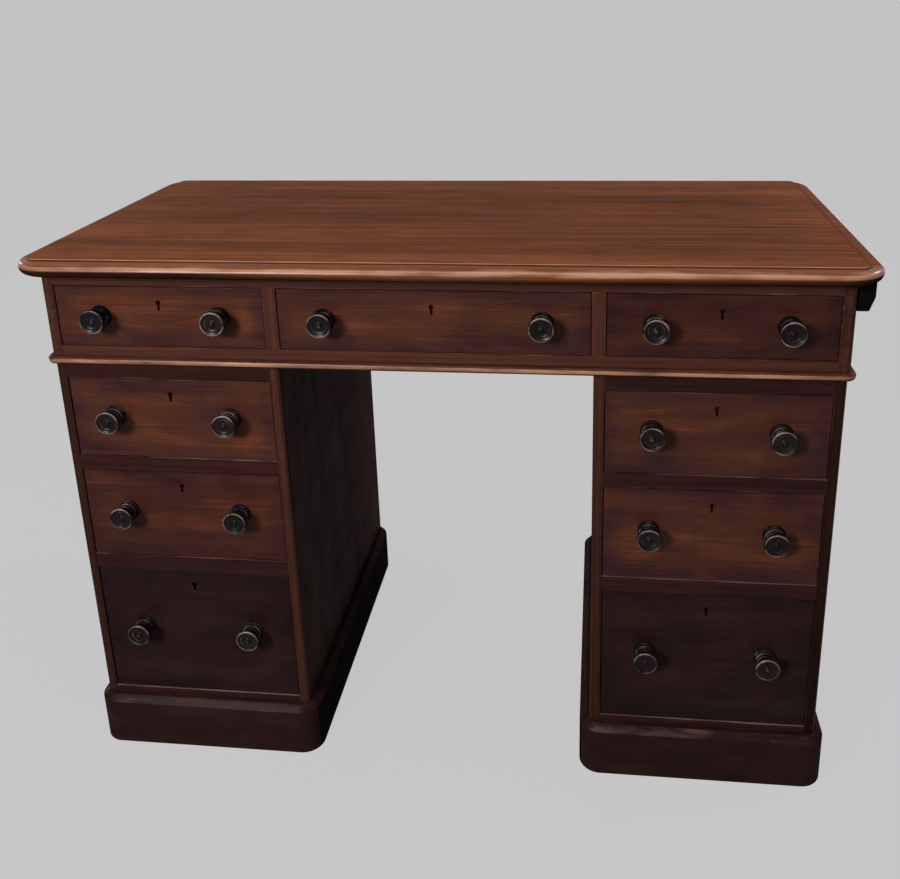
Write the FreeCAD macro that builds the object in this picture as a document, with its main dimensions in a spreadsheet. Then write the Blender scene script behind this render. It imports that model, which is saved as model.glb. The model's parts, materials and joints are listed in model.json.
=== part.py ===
"""Pedestal desk: a moulded top over a frieze of three drawers, on two pedestals of three drawers each.

Millimetres, +X to the sitter's right, +Y to the back, +Z up. The origin is the middle of the
desk's footprint on the floor.
"""
import FreeCAD, Part
import math
import os

import Sketcher
from FreeCAD import Placement, Rotation, Vector

SIZES = [
    # name, value, what it is
    ("top_thickness", 20.0, "thickness of the desk top board"),
    ("top_overhang", 31.0, "nose of the top beyond the frieze, on all four sides"),
    ("top_corner_radius", 54.0, "plan radius of the top at its corners"),
    ("field_margin", 22.0, "moulded border of the top, from its nose to the flat field"),
    ("quirk_depth", 2.0, "small step between the field and the thumb moulding"),
    ("nose_radius", 8.5, "radius of the rounded nose of the top"),
    ("frieze_depth", 492.0, "frieze, front to back"),
    ("frieze_end_thickness", 17.0, "end board of the frieze"),
    ("frieze_corner_radius", 8.0, "rounding of the frieze's front corners"),
    ("frieze_back_thickness", 12.0, "back board of the frieze"),
    ("divider_width", 18.0, "upright between two frieze drawers"),
    ("side_opening", 283.0, "width of the opening of every side drawer"),
    ("centre_opening", 404.0, "width of the opening of the centre drawer"),
    ("frieze_opening", 84.5, "height of the frieze drawers' openings"),
    ("frieze_upper_rail", 18.0, "height of the rail above the frieze drawers"),
    ("frieze_lower_rail", 25.5, "height of the rail below the frieze drawers"),
    ("upper_rail_depth", 22.0, "rail above the frieze drawers, front to back"),
    ("rail_depth", 45.0, "every other front rail, front to back"),
    ("moulding_height", 11.5, "half-round moulding at the foot of the frieze"),
    ("moulding_straight", 2.2, "flat part of the moulding behind its round"),
    ("moulding_radius", 5.85, "radius of that round"),
    ("moulding_corner_gap", 1.0, "moulding's inner corner is this much tighter than the frieze's"),
    ("pedestal_inset", 3.0, "outer side of a pedestal inside the frieze's end"),
    ("pedestal_back_inset", 2.0, "back of a pedestal inside the frieze's back"),
    ("pedestal_side_thickness", 14.5, "side board of a pedestal"),
    ("pedestal_corner_radius", 6.0, "rounding of a pedestal's front corners"),
    ("pedestal_back_thickness", 9.0, "back board of a pedestal"),
    ("pedestal_top_rail", 20.0, "rail above a pedestal's top drawer"),
    ("top_drawer_opening", 117.0, "height of the top drawer's opening"),
    ("upper_rail", 21.0, "rail under the top drawer"),
    ("middle_drawer_opening", 135.5, "height of the middle drawer's opening"),
    ("lower_rail", 23.0, "rail under the middle drawer"),
    ("bottom_drawer_opening", 204.5, "height of the bottom drawer's opening"),
    ("bottom_rail", 11.0, "rail under the bottom drawer"),
    ("top_board_thickness", 12.0, "board that closes a pedestal at the top"),
    ("tenon_length", 6.0, "how far a rail is let into the boards beside it"),
    ("tenon_setback", 7.0, "tenon behind the rail's face and before its back"),
    ("plinth_height", 80.0, "height of a plinth"),
    ("plinth_projection", 14.0, "plinth beyond the pedestal on all sides"),
    ("plinth_thickness", 24.0, "thickness of a plinth board"),
    ("plinth_corner_radius", 30.0, "plan radius of a plinth at its corners"),
    ("plinth_chamfer_height", 9.0, "height of the chamfer along a plinth's top"),
    ("plinth_chamfer_width", 8.5, "width of that chamfer"),
    ("runner_width", 20.0, "drawer runner, across"),
    ("runner_height", 13.0, "drawer runner, up and down"),
    ("drawer_back_clearance", 24.5, "room between a drawer and the back of a pedestal"),
    ("drawer_side_gap", 1.1, "gap at each side of a drawer front"),
    ("drawer_top_gap", 1.6, "gap above a drawer front"),
    ("drawer_bottom_gap", 0.5, "running gap under a drawer"),
    ("drawer_recess", 1.5, "drawer faces behind the face of the carcase"),
    ("front_thickness", 20.0, "drawer front"),
    ("front_lap", 6.0, "wood left in front of the dovetail sockets"),
    ("drawer_side_thickness", 9.0, "drawer side and back"),
    ("drawer_side_drop", 5.0, "drawer side below the top of the front"),
    ("drawer_back_drop", 3.0, "drawer back below the top of the sides"),
    ("drawer_bottom_thickness", 6.5, "drawer bottom"),
    ("drawer_bottom_rise", 8.0, "drawer bottom above the lower edge of the sides"),
    ("groove_depth", 4.5, "groove for the drawer bottom"),
    ("knob_spacing_half", 81.0, "knob from the middle of a side drawer"),
    ("centre_knob_spacing_half", 140.5, "knob from the middle of the centre drawer"),
    ("knob_rise", 1.0, "knobs above mid-height on the frieze drawers"),
    ("top_knob_rise", 3.5, "knobs above mid-height on a top drawer"),
    ("middle_knob_rise", 5.5, "knobs above mid-height on a middle drawer"),
    ("bottom_knob_rise", 8.5, "knobs above mid-height on a bottom drawer"),
    ("knob_projection", 29.0, "knob, from the drawer face to its rim"),
    ("knob_rim_radius", 16.8, "widest radius of a knob's head"),
    ("spigot_radius", 5.0, "radius of the knob's spigot"),
    ("spigot_shortfall", 1.0, "spigot ends this far before the back of the front"),
    ("spigot_clearance", 0.1, "radial clearance round the spigot"),
    ("keyhole_drop", 21.5, "keyhole's eye below the top of the drawer front"),
    ("keyhole_eye_radius", 3.4, "radius of the keyhole's eye"),
    ("keyhole_slot_width", 3.2, "width of the keyhole's slot"),
    ("keyhole_slot_length", 10.5, "slot, from the eye's centre down"),
    ("lock_width", 52.0, "lock case, across"),
    ("lock_height", 38.0, "lock case, up and down"),
    ("lock_depth", 11.0, "lock case, front to back"),
    ("bolt_width", 16.0, "lock bolt, across"),
    ("bolt_height", 12.0, "lock bolt, up and down"),
    ("bolt_thickness", 4.0, "lock bolt, front to back"),
    ("bolt_setback", 3.0, "bolt behind the front of the lock case"),
    ("bolt_clearance", 0.4, "clearance round the bolt"),
    ("slide_thickness", 9.0, "board of the side slide"),
    ("slide_board_gap", 2.0, "board of the side slide behind the rail over the drawers"),
    ("slide_clearance", 0.5, "clearance above, below and behind the lip of the side slide"),
    ("slide_end_margin", 2.0, "slide board short of the partition"),
    ("bearer_width", 30.0, "bearer under the side slide, front to back"),
    ("bearer_height", 10.0, "bearer under the side slide, up and down"),
    ("lip_projection", 22.0, "slide's lip beyond the frieze's end"),
    ("lip_height", 40.0, "slide's lip, up and down"),
    ("lip_end_margin", 8.0, "slide's lip inside the frieze, at its front and at its back"),
    ("lip_round", 5.0, "rounding of the lip's upper edge"),
    ("lip_bevel_height", 18.0, "height of the bevel under the lip"),
    ("lip_bevel_width", 6.5, "width of that bevel"),
    ("overrun", 5.0, "how far a cutting body reaches past what it cuts"),
]

# Dovetails at each corner of a drawer, by its height.
SHALLOW_DRAWER_TAILS = 3
MIDDLE_DRAWER_TAILS = 4
DEEP_DRAWER_TAILS = 5

# Half thickness of a dovetail's root and of its end, as shares of the spacing of the tails.
TAIL_ROOT_SHARE = 0.22
TAIL_END_SHARE = 0.32

# A turned knob from the middle of its face to its foot: shares of the rim's radius and of the
# projection, then the radius of the arc to the next point as a share of the rim's radius,
# positive where it is hollow.
KNOB_PROFILE_SHARES = [
    (0.0, 0.965, -0.55),
    (0.22, 0.935),
    (0.22, 0.875, 1.90),
    (0.76, 0.955, -0.20),
    (1.0, 0.895, -0.30),
    (0.93, 0.790, 0.45),
    (0.68, 0.560),
    (0.68, 0.290, 0.30),
    (0.76, 0.235, -0.10),
    (0.76, 0.170, 0.30),
    (0.80, 0.125, -0.22),
    (0.875, 0.060),
    (0.875, 0.0),
]

doc = FreeCAD.newDocument("pedestal_desk")


class Size:
    """A length with its value and with the formula that ties it to the sheet."""

    def __init__(self, value, formula):
        self.value = value
        self.formula = formula

    @staticmethod
    def of(thing):
        return thing if isinstance(thing, Size) else Size(float(thing), f"({float(thing)!r})")

    @staticmethod
    def join(left, sign, right):
        left, right = Size.of(left), Size.of(right)
        value = {"+": left.value + right.value, "-": left.value - right.value,
                 "*": left.value * right.value,
                 "/": left.value / right.value if right.value else 0.0}[sign]
        return Size(value, f"({left.formula} {sign} {right.formula})")

    def __add__(self, other):
        return Size.join(self, "+", other)

    def __radd__(self, other):
        return Size.join(other, "+", self)

    def __sub__(self, other):
        return Size.join(self, "-", other)

    def __rsub__(self, other):
        return Size.join(other, "-", self)

    def __mul__(self, other):
        return Size.join(self, "*", other)

    __rmul__ = __mul__

    def __truediv__(self, other):
        return Size.join(self, "/", other)

    def __neg__(self):
        return Size(-self.value, f"(0 - {self.formula})")


class Sheet:
    """The desk's spreadsheet; its sizes are read as attributes."""

    def __init__(self, rows):
        self.cells = doc.addObject("Spreadsheet::Sheet", "Sizes")
        for number, (name, value, meaning) in enumerate(rows, start=1):
            self.cells.set(f"A{number}", name)
            self.cells.set(f"B{number}", str(value))
            self.cells.set(f"C{number}", meaning)
            self.cells.setAlias(f"B{number}", name)
            setattr(self, name, Size(value, f"Sizes.{name}"))


s = Sheet(SIZES)
doc.recompute()


def bind(item, prop, size):
    """Tie one property of an object to a size."""
    item.setExpression(prop, Size.of(size).formula)


def place(item, x=0, y=0, z=0):
    """Tie an object's place to sizes."""
    for letter, size in zip("xyz", (x, y, z)):
        bind(item, f".Placement.Base.{letter}", size)
    return item


def box(name, x, y, z, length, width, height):
    """A square-edged board with its low corner at x, y, z."""
    item = doc.addObject("Part::Box", name)
    for prop, size in zip(("Length", "Width", "Height"), (length, width, height)):
        bind(item, prop, size)
    return place(item, x, y, z)


def centred_box(name, x, y, z, length, width, height):
    """A board whose length is centred on x."""
    return box(name, x - length / 2, y, z, length, width, height)


def rod(name, x, y, z, radius, length):
    """A round bar that runs back from x, y, z along +Y."""
    item = doc.addObject("Part::Cylinder", name)
    bind(item, "Radius", radius)
    bind(item, "Height", length)
    item.Placement = Placement(Vector(0, 0, 0), Rotation(Vector(1, 0, 0), -90))
    return place(item, x, y, z)


def group(name, items):
    """Several separate pieces under one name."""
    item = doc.addObject("Part::Compound", name)
    item.Links = items
    return item


def cut(name, base, tools):
    """A piece with the given shapes taken out of it."""
    item = doc.addObject("Part::Cut", name)
    item.Base = base
    item.Tool = tools[0] if len(tools) == 1 else group(f"{name}_tools", tools)
    return item


def common(name, base, tool):
    """What two shapes share."""
    item = doc.addObject("Part::Common", name)
    item.Base = base
    item.Tool = tool
    return item


def new_body(name):
    body = doc.addObject("PartDesign::Body", name)
    body.AllowCompound = True
    return body


def new_sketch(body, plane, offset=0):
    """A sketch on one of the body's own planes, moved along the plane's normal."""
    sketch = body.newObject("Sketcher::SketchObject", f"{body.Name}_sketch")
    origin_plane = [face for face in body.Origin.OriginFeatures if face.Role == plane][0]
    sketch.AttachmentSupport = [(origin_plane, "")]
    sketch.MapMode = "FlatFace"
    if isinstance(offset, Size):
        bind(sketch, ".AttachmentOffset.Base.z", offset)
    return sketch


def pin_point(sketch, geometry, end, across, up):
    """Fix one point of a sketch by two sizes measured from the sketch's origin."""
    for kind, axis, size in (("DistanceX", -2, Size.of(across)), ("DistanceY", -1, Size.of(up))):
        if size.value == 0:
            sketch.addConstraint(Sketcher.Constraint("PointOnObject", geometry, end, axis))
            continue
        number = sketch.addConstraint(Sketcher.Constraint(kind, -1, 1, geometry, end, size.value))
        sketch.setExpression(f"Constraints[{number}]", size.formula)


def draw(sketch, points):
    """A closed outline of points (across, up). A third value is the radius of the arc to the
    next point: it bulges to the left of the way there, or to the right if negative."""
    first = sketch.GeometryCount
    count = len(points)
    walks = []
    for number, point in enumerate(points):
        start = Vector(Size.of(point[0]).value, Size.of(point[1]).value, 0)
        after = points[(number + 1) % count]
        end = Vector(Size.of(after[0]).value, Size.of(after[1]).value, 0)
        if len(point) == 2:
            sketch.addGeometry(Part.LineSegment(start, end))
            walks.append((1, 2))
            continue
        radius = abs(point[2].value)
        chord = end - start
        rise = radius - math.sqrt(max(0.0, radius ** 2 - chord.Length ** 2 / 4))
        left = Vector(-chord.y, chord.x, 0).normalize()
        middle = (start + end) / 2 + left * math.copysign(rise, point[2].value)
        sketch.addGeometry(Part.ArcOfCircle(start, middle, end))
        # The sketch counts an arc's ends counter-clockwise, so one that bulges left swaps them.
        walks.append((2, 1) if point[2].value > 0 else (1, 2))
    for number, point in enumerate(points):
        here, after = first + number, first + (number + 1) % count
        arrival, departure = walks[number][1], walks[(number + 1) % count][0]
        sketch.addConstraint(Sketcher.Constraint("Coincident", here, arrival, after, departure))
        pin_point(sketch, here, walks[number][0], point[0], point[1])
        if len(point) == 3:
            radius = point[2] if point[2].value > 0 else -point[2]
            mark = sketch.addConstraint(Sketcher.Constraint("Radius", here, radius.value))
            sketch.setExpression(f"Constraints[{mark}]", radius.formula)


def rounded_rectangle(sketch, half_x, front, back, radius):
    """A rectangle with round corners, begun at the middle of its front side."""
    draw(sketch, [(0, front), (half_x - radius, front, -radius), (half_x, front + radius),
                  (half_x, back - radius, -radius), (half_x - radius, back),
                  (radius - half_x, back, -radius), (-half_x, back - radius),
                  (-half_x, front + radius, -radius), (radius - half_x, front)])


def pad(body, sketch, length, symmetric=False):
    """A sketch given thickness along its plane's normal."""
    feature = body.newObject("PartDesign::Pad", f"{body.Name}_pad")
    feature.Profile = sketch
    feature.SideType = "Symmetric" if symmetric else "One side"
    bind(feature, "Length", length)
    return feature


def pipe(kind, body, profile, path):
    """A profile carried all the way round a closed path."""
    feature = body.newObject(f"PartDesign::{kind}", f"{body.Name}_pipe")
    feature.Profile = profile
    feature.Spine = (path, [f"Edge{number}" for number in range(1, path.GeometryCount + 1)])
    return feature


def repeat(body, feature, length):
    """A second copy of a feature, further along +X."""
    pattern = body.newObject("PartDesign::LinearPattern", f"{body.Name}_pair")
    pattern.Originals = [feature]
    pattern.Direction = (body.Origin.OriginFeatures[0], [""])
    pattern.Occurrences = 2
    bind(pattern, "Length", length)
    body.Tip = pattern
    return pattern


pieces = {}


def piece(name, item):
    """Enter a finished sub-part under the name that its node gets."""
    item.Label = name
    pieces[name] = item
    return item


# Levels, from the floor up
bottom_floor = s.plinth_height + s.bottom_rail
lower_rail_foot = bottom_floor + s.bottom_drawer_opening
middle_floor = lower_rail_foot + s.lower_rail
upper_rail_foot = middle_floor + s.middle_drawer_opening
top_floor = upper_rail_foot + s.upper_rail
top_rail_foot = top_floor + s.top_drawer_opening
pedestal_top = top_rail_foot + s.pedestal_top_rail
frieze_floor = pedestal_top + s.frieze_lower_rail
frieze_ceiling = frieze_floor + s.frieze_opening
top_underside = frieze_ceiling + s.frieze_upper_rail

# Places across and along the desk
divider_x = (s.centre_opening + s.divider_width) / 2
side_drawer_x = s.centre_opening / 2 + s.divider_width + s.side_opening / 2
end_inner = side_drawer_x + s.side_opening / 2
half_frieze = end_inner + s.frieze_end_thickness
front_y = -s.frieze_depth / 2
back_y = s.frieze_depth / 2
pedestal_back_y = back_y - s.pedestal_back_inset
pedestal_half = s.side_opening / 2 + s.pedestal_side_thickness
pedestal_x = half_frieze - s.pedestal_inset - pedestal_half
bolt_y = front_y + s.drawer_recess + s.front_thickness - s.lock_depth + s.bolt_setback
drawer_length = (pedestal_back_y - s.pedestal_back_thickness - s.drawer_back_clearance
                 - front_y - s.drawer_recess)


def corner_board(name, side, x, inner, outer, back, radius, low, height):
    """An upright end board whose front outer corner is rounded; side is -1 left, 1 right."""
    body = new_body(name)
    plan = new_sketch(body, "XY_Plane")
    draw(plan, [(side * inner, front_y), (side * (outer - radius), front_y, -side * radius),
                (side * outer, front_y + radius), (side * outer, back), (side * inner, back)])
    pad(body, plan, height)
    return place(body, x, 0, low)


def fused(name, items):
    """Several overlapping shapes made one."""
    item = doc.addObject("Part::MultiFuse", name)
    item.Shapes = items
    return item


def rail(name, x, z, length, depth, height, bolt_places=(), sockets=()):
    """A front rail with a tenon at each end and a mortise over each lock bolt."""
    face = centred_box(f"{name}_face", x, front_y, z, length, depth, height)
    tenon = centred_box(f"{name}_tenon", x, front_y + s.tenon_setback, z,
                        length + 2 * s.tenon_length, depth - 2 * s.tenon_setback, height)
    whole = fused(f"{name}_blank", [face, tenon])
    mortises = [centred_box(f"{name}_mortise", bolt_x, bolt_y - s.bolt_clearance, z,
                            s.bolt_width + 2 * s.bolt_clearance,
                            s.bolt_thickness + 2 * s.bolt_clearance, s.bolt_height)
                for bolt_x in bolt_places]
    mortises += sockets
    return (cut(f"{name}_mortised", whole, mortises) if mortises else whole), tenon


def mitred_lengths(name, ring, x, half_x, front, back, low, height, reach, sides):
    """The lengths of a ring, cut from each other along its diagonals."""
    left, right, near, far = -half_x - reach, half_x + reach, front - reach, back + reach
    width = 3 * reach
    inner_left, inner_right, inner_near = left + width, right - width, near + width
    # Without a length at the back, those at the sides end square there.
    side_end, inner_end = (far, far - width) if "back" in sides else (back, back)
    plans = {
        "front": [(left, near), (right, near), (inner_right, inner_near),
                  (inner_left, inner_near)],
        "left": [(left, near), (inner_left, inner_near), (inner_left, inner_end),
                 (left, side_end)],
        "right": [(right, near), (right, side_end), (inner_right, inner_end),
                  (inner_right, inner_near)],
        "back": [(left, far), (inner_left, far - width), (inner_right, far - width),
                 (right, far)],
    }
    lengths = []
    for side in sides:
        wedge = new_body(f"{name}_{side}_wedge")
        plan = new_sketch(wedge, "XY_Plane")
        draw(plan, plans[side])
        pad(wedge, plan, height + 2 * s.overrun)
        place(wedge, x, 0, low - s.overrun)
        lengths.append(common(f"{name}_{side}", ring, wedge))
    return lengths


def desk_top():
    """The top board: a thumb moulding with a quirk runs round all its edges."""
    edge_front = front_y - s.top_overhang
    outline = (half_frieze + s.top_overhang, edge_front, back_y + s.top_overhang,
               s.top_corner_radius)
    body = new_body("top_board")
    plan = new_sketch(body, "XY_Plane")
    rounded_rectangle(plan, *outline)
    pad(body, plan, s.top_thickness)

    quirk_y, quirk_z = edge_front + s.field_margin, s.top_thickness - s.quirk_depth
    nose_y, nose_z = edge_front + s.nose_radius, s.nose_radius
    across, rise = s.field_margin - s.nose_radius, quirk_z - nose_z
    # This radius makes the thumb level at the quirk and tangent to the nose.
    thumb_radius = ((across * across + rise * rise - s.nose_radius * s.nose_radius)
                    / (2 * (rise - s.nose_radius)))
    share = s.nose_radius / (thumb_radius - s.nose_radius)
    meeting = (nose_y - across * share, nose_z + (thumb_radius - rise) * share)
    profile = new_sketch(body, "YZ_Plane")
    draw(profile, [(quirk_y, s.top_thickness + s.overrun),
                   (quirk_y, quirk_z, -thumb_radius),
                   (*meeting, -s.nose_radius),
                   (nose_y, 0),
                   (nose_y, -s.overrun),
                   (edge_front - s.overrun, -s.overrun),
                   (edge_front - s.overrun, s.top_thickness + s.overrun)])
    path = new_sketch(body, "XY_Plane")
    rounded_rectangle(path, *outline)
    pipe("SubtractivePipe", body, profile, path)
    return place(body, 0, 0, top_underside)


def base_moulding():
    """The half-round at the foot of the frieze: three mitred lengths."""
    body = new_body("moulding_ring")
    profile = new_sketch(body, "YZ_Plane")
    root = front_y - s.moulding_straight
    # The path's corners at the back lie behind the frieze, where no length is cut.
    path_back = back_y + 2 * s.frieze_corner_radius
    draw(profile, [(front_y, 0), (front_y, s.moulding_height),
                   (root, s.moulding_height, -s.moulding_radius), (root, 0)])
    path = new_sketch(body, "XY_Plane")
    rounded_rectangle(path, half_frieze, front_y, path_back,
                      s.frieze_corner_radius - s.moulding_corner_gap)
    pipe("AdditivePipe", body, profile, path)
    place(body, 0, 0, pedestal_top)
    return group("moulding_lengths", mitred_lengths(
        "moulding", body, 0, half_frieze, front_y, back_y, pedestal_top, s.moulding_height,
        s.moulding_height, ("front", "left", "right")))


def slide():
    """The slide at the right end: its board, its lip and the two bearers it runs on."""
    half_depth = s.frieze_depth / 2 - s.upper_rail_depth - s.slide_board_gap
    partition_face = s.centre_opening / 2 + s.divider_width
    board_x = partition_face + s.slide_end_margin
    board_z = top_underside - s.slide_clearance - s.slide_thickness
    lip_x = half_frieze + s.slide_clearance
    lip_outer = half_frieze + s.lip_projection
    lip_middle = (lip_x + lip_outer) / 2
    board = box("slide_board", board_x, -half_depth, board_z,
                lip_middle - board_x, 2 * half_depth, s.slide_thickness)

    lip_body = new_body("slide_lip")
    lip_top = top_underside - s.slide_clearance
    lip_foot = lip_top - s.lip_height
    section = new_sketch(lip_body, "XZ_Plane")
    draw(section, [(lip_x, lip_foot), (lip_outer - s.lip_bevel_width, lip_foot),
                   (lip_outer, lip_foot + s.lip_bevel_height),
                   (lip_outer, lip_top - s.lip_round, -s.lip_round),
                   (lip_outer - s.lip_round, lip_top), (lip_x, lip_top)])
    pad(lip_body, section, s.frieze_depth - 2 * s.lip_end_margin, symmetric=True)
    lip = cut("slide_lip_grooved", lip_body, [board])

    bearers = [box("slide_bearer", partition_face, y, board_z - s.slide_clearance
                   - s.bearer_height, end_inner - partition_face, s.bearer_width,
                   s.bearer_height)
               for y in (-half_depth, half_depth - s.bearer_width)]
    notch = box("slide_notch", end_inner - s.overrun, -half_depth - s.slide_clearance,
                board_z - s.slide_clearance,
                s.frieze_end_thickness + 2 * s.overrun,
                2 * (half_depth + s.slide_clearance),
                s.slide_thickness + 2 * s.slide_clearance + s.overrun)
    return board, lip, bearers, notch


def frieze():
    """The top section between the pedestals and the top."""
    height = top_underside - pedestal_top
    inside_back = back_y - s.frieze_back_thickness
    dividers, sockets = [], []
    for x in (-divider_x, divider_x):
        face = centred_box("divider_face", x, front_y, frieze_floor,
                           s.divider_width, s.rail_depth, s.frieze_opening)
        tenon = centred_box("divider_tenon", x, front_y + s.tenon_setback,
                            frieze_floor - s.tenon_length, s.divider_width,
                            s.upper_rail_depth - 2 * s.tenon_setback,
                            s.frieze_opening + 2 * s.tenon_length)
        dividers.append(fused("divider", [face, tenon]))
        sockets.append(tenon)
    upper, upper_tenon = rail("frieze_upper_rail", 0, frieze_ceiling, 2 * end_inner,
                              s.upper_rail_depth, s.frieze_upper_rail,
                              (-side_drawer_x, 0, side_drawer_x), sockets)
    lower, lower_tenon = rail("frieze_lower_rail", 0, pedestal_top, 2 * end_inner,
                              s.rail_depth, s.frieze_lower_rail, (), sockets)
    board, lip, bearers, notch = slide()
    ends = []
    for side in (-1, 1):
        end = corner_board("frieze_end", side, 0, end_inner, half_frieze, back_y,
                           s.frieze_corner_radius, pedestal_top, height)
        tools = [upper_tenon, lower_tenon] + ([notch] if side == 1 else [])
        ends.append(cut("frieze_end_housed", end, tools))
    partitions, runners = [], []
    rail_back = front_y + s.rail_depth
    for x in (-divider_x, divider_x):
        partitions.append(centred_box("partition", x, rail_back, pedestal_top,
                                      s.divider_width, inside_back - rail_back, height))
    for x, opening in ((-side_drawer_x, s.side_opening), (0, s.centre_opening),
                       (side_drawer_x, s.side_opening)):
        for side in (-1, 1):
            runners.append(centred_box(
                "frieze_runner", x + side * (opening - s.runner_width) / 2, rail_back,
                frieze_floor - s.runner_height, s.runner_width, inside_back - rail_back,
                s.runner_height))
    piece("desk_top", desk_top())
    piece("base_moulding", base_moulding())
    piece("frieze_ends", group("frieze_end_pair", ends))
    piece("frieze_back", centred_box("frieze_back_board", 0, inside_back, pedestal_top,
                                     2 * end_inner, s.frieze_back_thickness, height))
    piece("frieze_rails", group("frieze_rail_pair", [upper, lower]))
    piece("frieze_dividers", group("divider_pair", dividers))
    piece("frieze_partitions", group("partition_pair", partitions))
    piece("frieze_runners", group("frieze_runner_set", runners))
    piece("side_slide_board", board)
    piece("side_slide_lip", lip)
    piece("side_slide_bearers", group("slide_bearer_pair", bearers))


def plinth(name, x):
    """Four boards mitred round the foot of a pedestal, chamfered along the top."""
    front, back = front_y - s.plinth_projection, pedestal_back_y + s.plinth_projection
    half_x = pedestal_half + s.plinth_projection
    body = new_body(f"{name}_plinth_ring")
    plan = new_sketch(body, "XY_Plane")
    rounded_rectangle(plan, half_x, front, back, s.plinth_corner_radius)
    inside_x = half_x - s.plinth_thickness
    inside_front, inside_back = front + s.plinth_thickness, back - s.plinth_thickness
    draw(plan, [(-inside_x, inside_front), (inside_x, inside_front), (inside_x, inside_back),
                (-inside_x, inside_back)])
    pad(body, plan, s.plinth_height)
    chamfer_foot = s.plinth_height - s.plinth_chamfer_height
    profile = new_sketch(body, "YZ_Plane")
    draw(profile, [(front, chamfer_foot), (front + s.plinth_chamfer_width, s.plinth_height),
                   (front + s.plinth_chamfer_width, s.plinth_height + s.overrun),
                   (front - s.overrun, s.plinth_height + s.overrun),
                   (front - s.overrun, chamfer_foot)])
    path = new_sketch(body, "XY_Plane")
    rounded_rectangle(path, half_x, front, back, s.plinth_corner_radius)
    pipe("SubtractivePipe", body, profile, path)
    place(body, x, 0, 0)
    return group(f"{name}_plinth_boards", mitred_lengths(
        f"{name}_plinth", body, x, half_x, front, back, 0, s.plinth_height,
        s.plinth_thickness, ("front", "left", "right", "back")))


def pedestal(name, x):
    """A pedestal's carcase on its plinth."""
    height = pedestal_top - s.plinth_height
    inside_half = s.side_opening / 2
    rail_back = front_y + s.rail_depth
    inside_back = pedestal_back_y - s.pedestal_back_thickness
    rails, tenons = [], []
    for label, foot, rail_height, bolts in (
            ("bottom", s.plinth_height, s.bottom_rail, ()),
            ("lower", lower_rail_foot, s.lower_rail, (x,)),
            ("upper", upper_rail_foot, s.upper_rail, (x,)),
            ("top", top_rail_foot, s.pedestal_top_rail, (x,))):
        whole, tenon = rail(f"{name}_{label}_rail", x, foot, s.side_opening, s.rail_depth,
                            rail_height, bolts)
        rails.append(whole)
        tenons.append(tenon)
    sides = []
    for side in (-1, 1):
        board = corner_board(f"{name}_side", side, x, inside_half, pedestal_half,
                             pedestal_back_y, s.pedestal_corner_radius, s.plinth_height,
                             height)
        sides.append(cut(f"{name}_side_housed", board, tenons))
    boards = [centred_box(f"{name}_board", x, rail_back, foot, s.side_opening,
                          inside_back - rail_back, thickness)
              for foot, thickness in ((s.plinth_height, s.bottom_rail),
                                      (pedestal_top - s.top_board_thickness,
                                       s.top_board_thickness))]
    runners = [centred_box(f"{name}_runner", x + side * (s.side_opening - s.runner_width) / 2,
                           rail_back, floor - s.runner_height, s.runner_width,
                           inside_back - rail_back, s.runner_height)
               for floor in (middle_floor, top_floor) for side in (-1, 1)]
    piece(f"{name}_sides", group(f"{name}_side_pair", sides))
    piece(f"{name}_back", centred_box(f"{name}_back_board", x, inside_back, s.plinth_height,
                                      s.side_opening, s.pedestal_back_thickness, height))
    piece(f"{name}_boards", group(f"{name}_board_pair", boards))
    piece(f"{name}_rails", group(f"{name}_rail_set", rails))
    piece(f"{name}_runners", group(f"{name}_runner_set", runners))
    piece(f"{name}_plinth", plinth(name, x))


def tail_points(root_y, end_y, height, tails):
    """One end of a drawer side, from its foot up: the tails reach from root_y to end_y."""
    spacing = height / tails
    points = []
    for number in range(tails):
        middle = spacing * (number + 0.5)
        root, end = spacing * TAIL_ROOT_SHARE, spacing * TAIL_END_SHARE
        points += [(root_y, middle - root), (end_y, middle - end),
                   (end_y, middle + end), (root_y, middle + root)]
    return points


def drawer_side(name, x, z, height, tails):
    """A drawer side with lapped dovetails in front and through dovetails at the back."""
    body = new_body(name)
    outline = new_sketch(body, "YZ_Plane")
    front_root, front_end = s.front_thickness, s.front_lap
    back_root = drawer_length - s.drawer_side_thickness
    ahead = tail_points(front_root, front_end, height, tails)
    behind = tail_points(back_root, drawer_length, height, tails)
    draw(outline, [(front_root, 0), (back_root, 0)] + behind
         + [(back_root, height), (front_root, height)] + ahead[::-1])
    pad(body, outline, s.drawer_side_thickness)
    return place(body, x, front_y + s.drawer_recess, z)


def knobs(name, x, z, half_spacing):
    """Two turned knobs with the spigots that hold them."""
    body = new_body(f"{name}_knob_pair")
    section = new_sketch(body, "XY_Plane")
    points = []
    for across, out, *arc in KNOB_PROFILE_SHARES:
        points.append((s.knob_rim_radius * across, -s.knob_projection * out,
                       *(s.knob_rim_radius * radius for radius in arc)))
    spigot_end = s.front_thickness - s.spigot_shortfall
    points += [(s.spigot_radius, 0), (s.spigot_radius, spigot_end), (0, spigot_end)]
    draw(section, points)
    turned = body.newObject("PartDesign::Revolution", f"{name}_turning")
    turned.Profile = section
    turned.ReferenceAxis = (section, ["V_Axis"])
    turned.Angle = 360
    repeat(body, turned, 2 * half_spacing)
    return place(body, x - half_spacing, front_y + s.drawer_recess, z)


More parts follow.
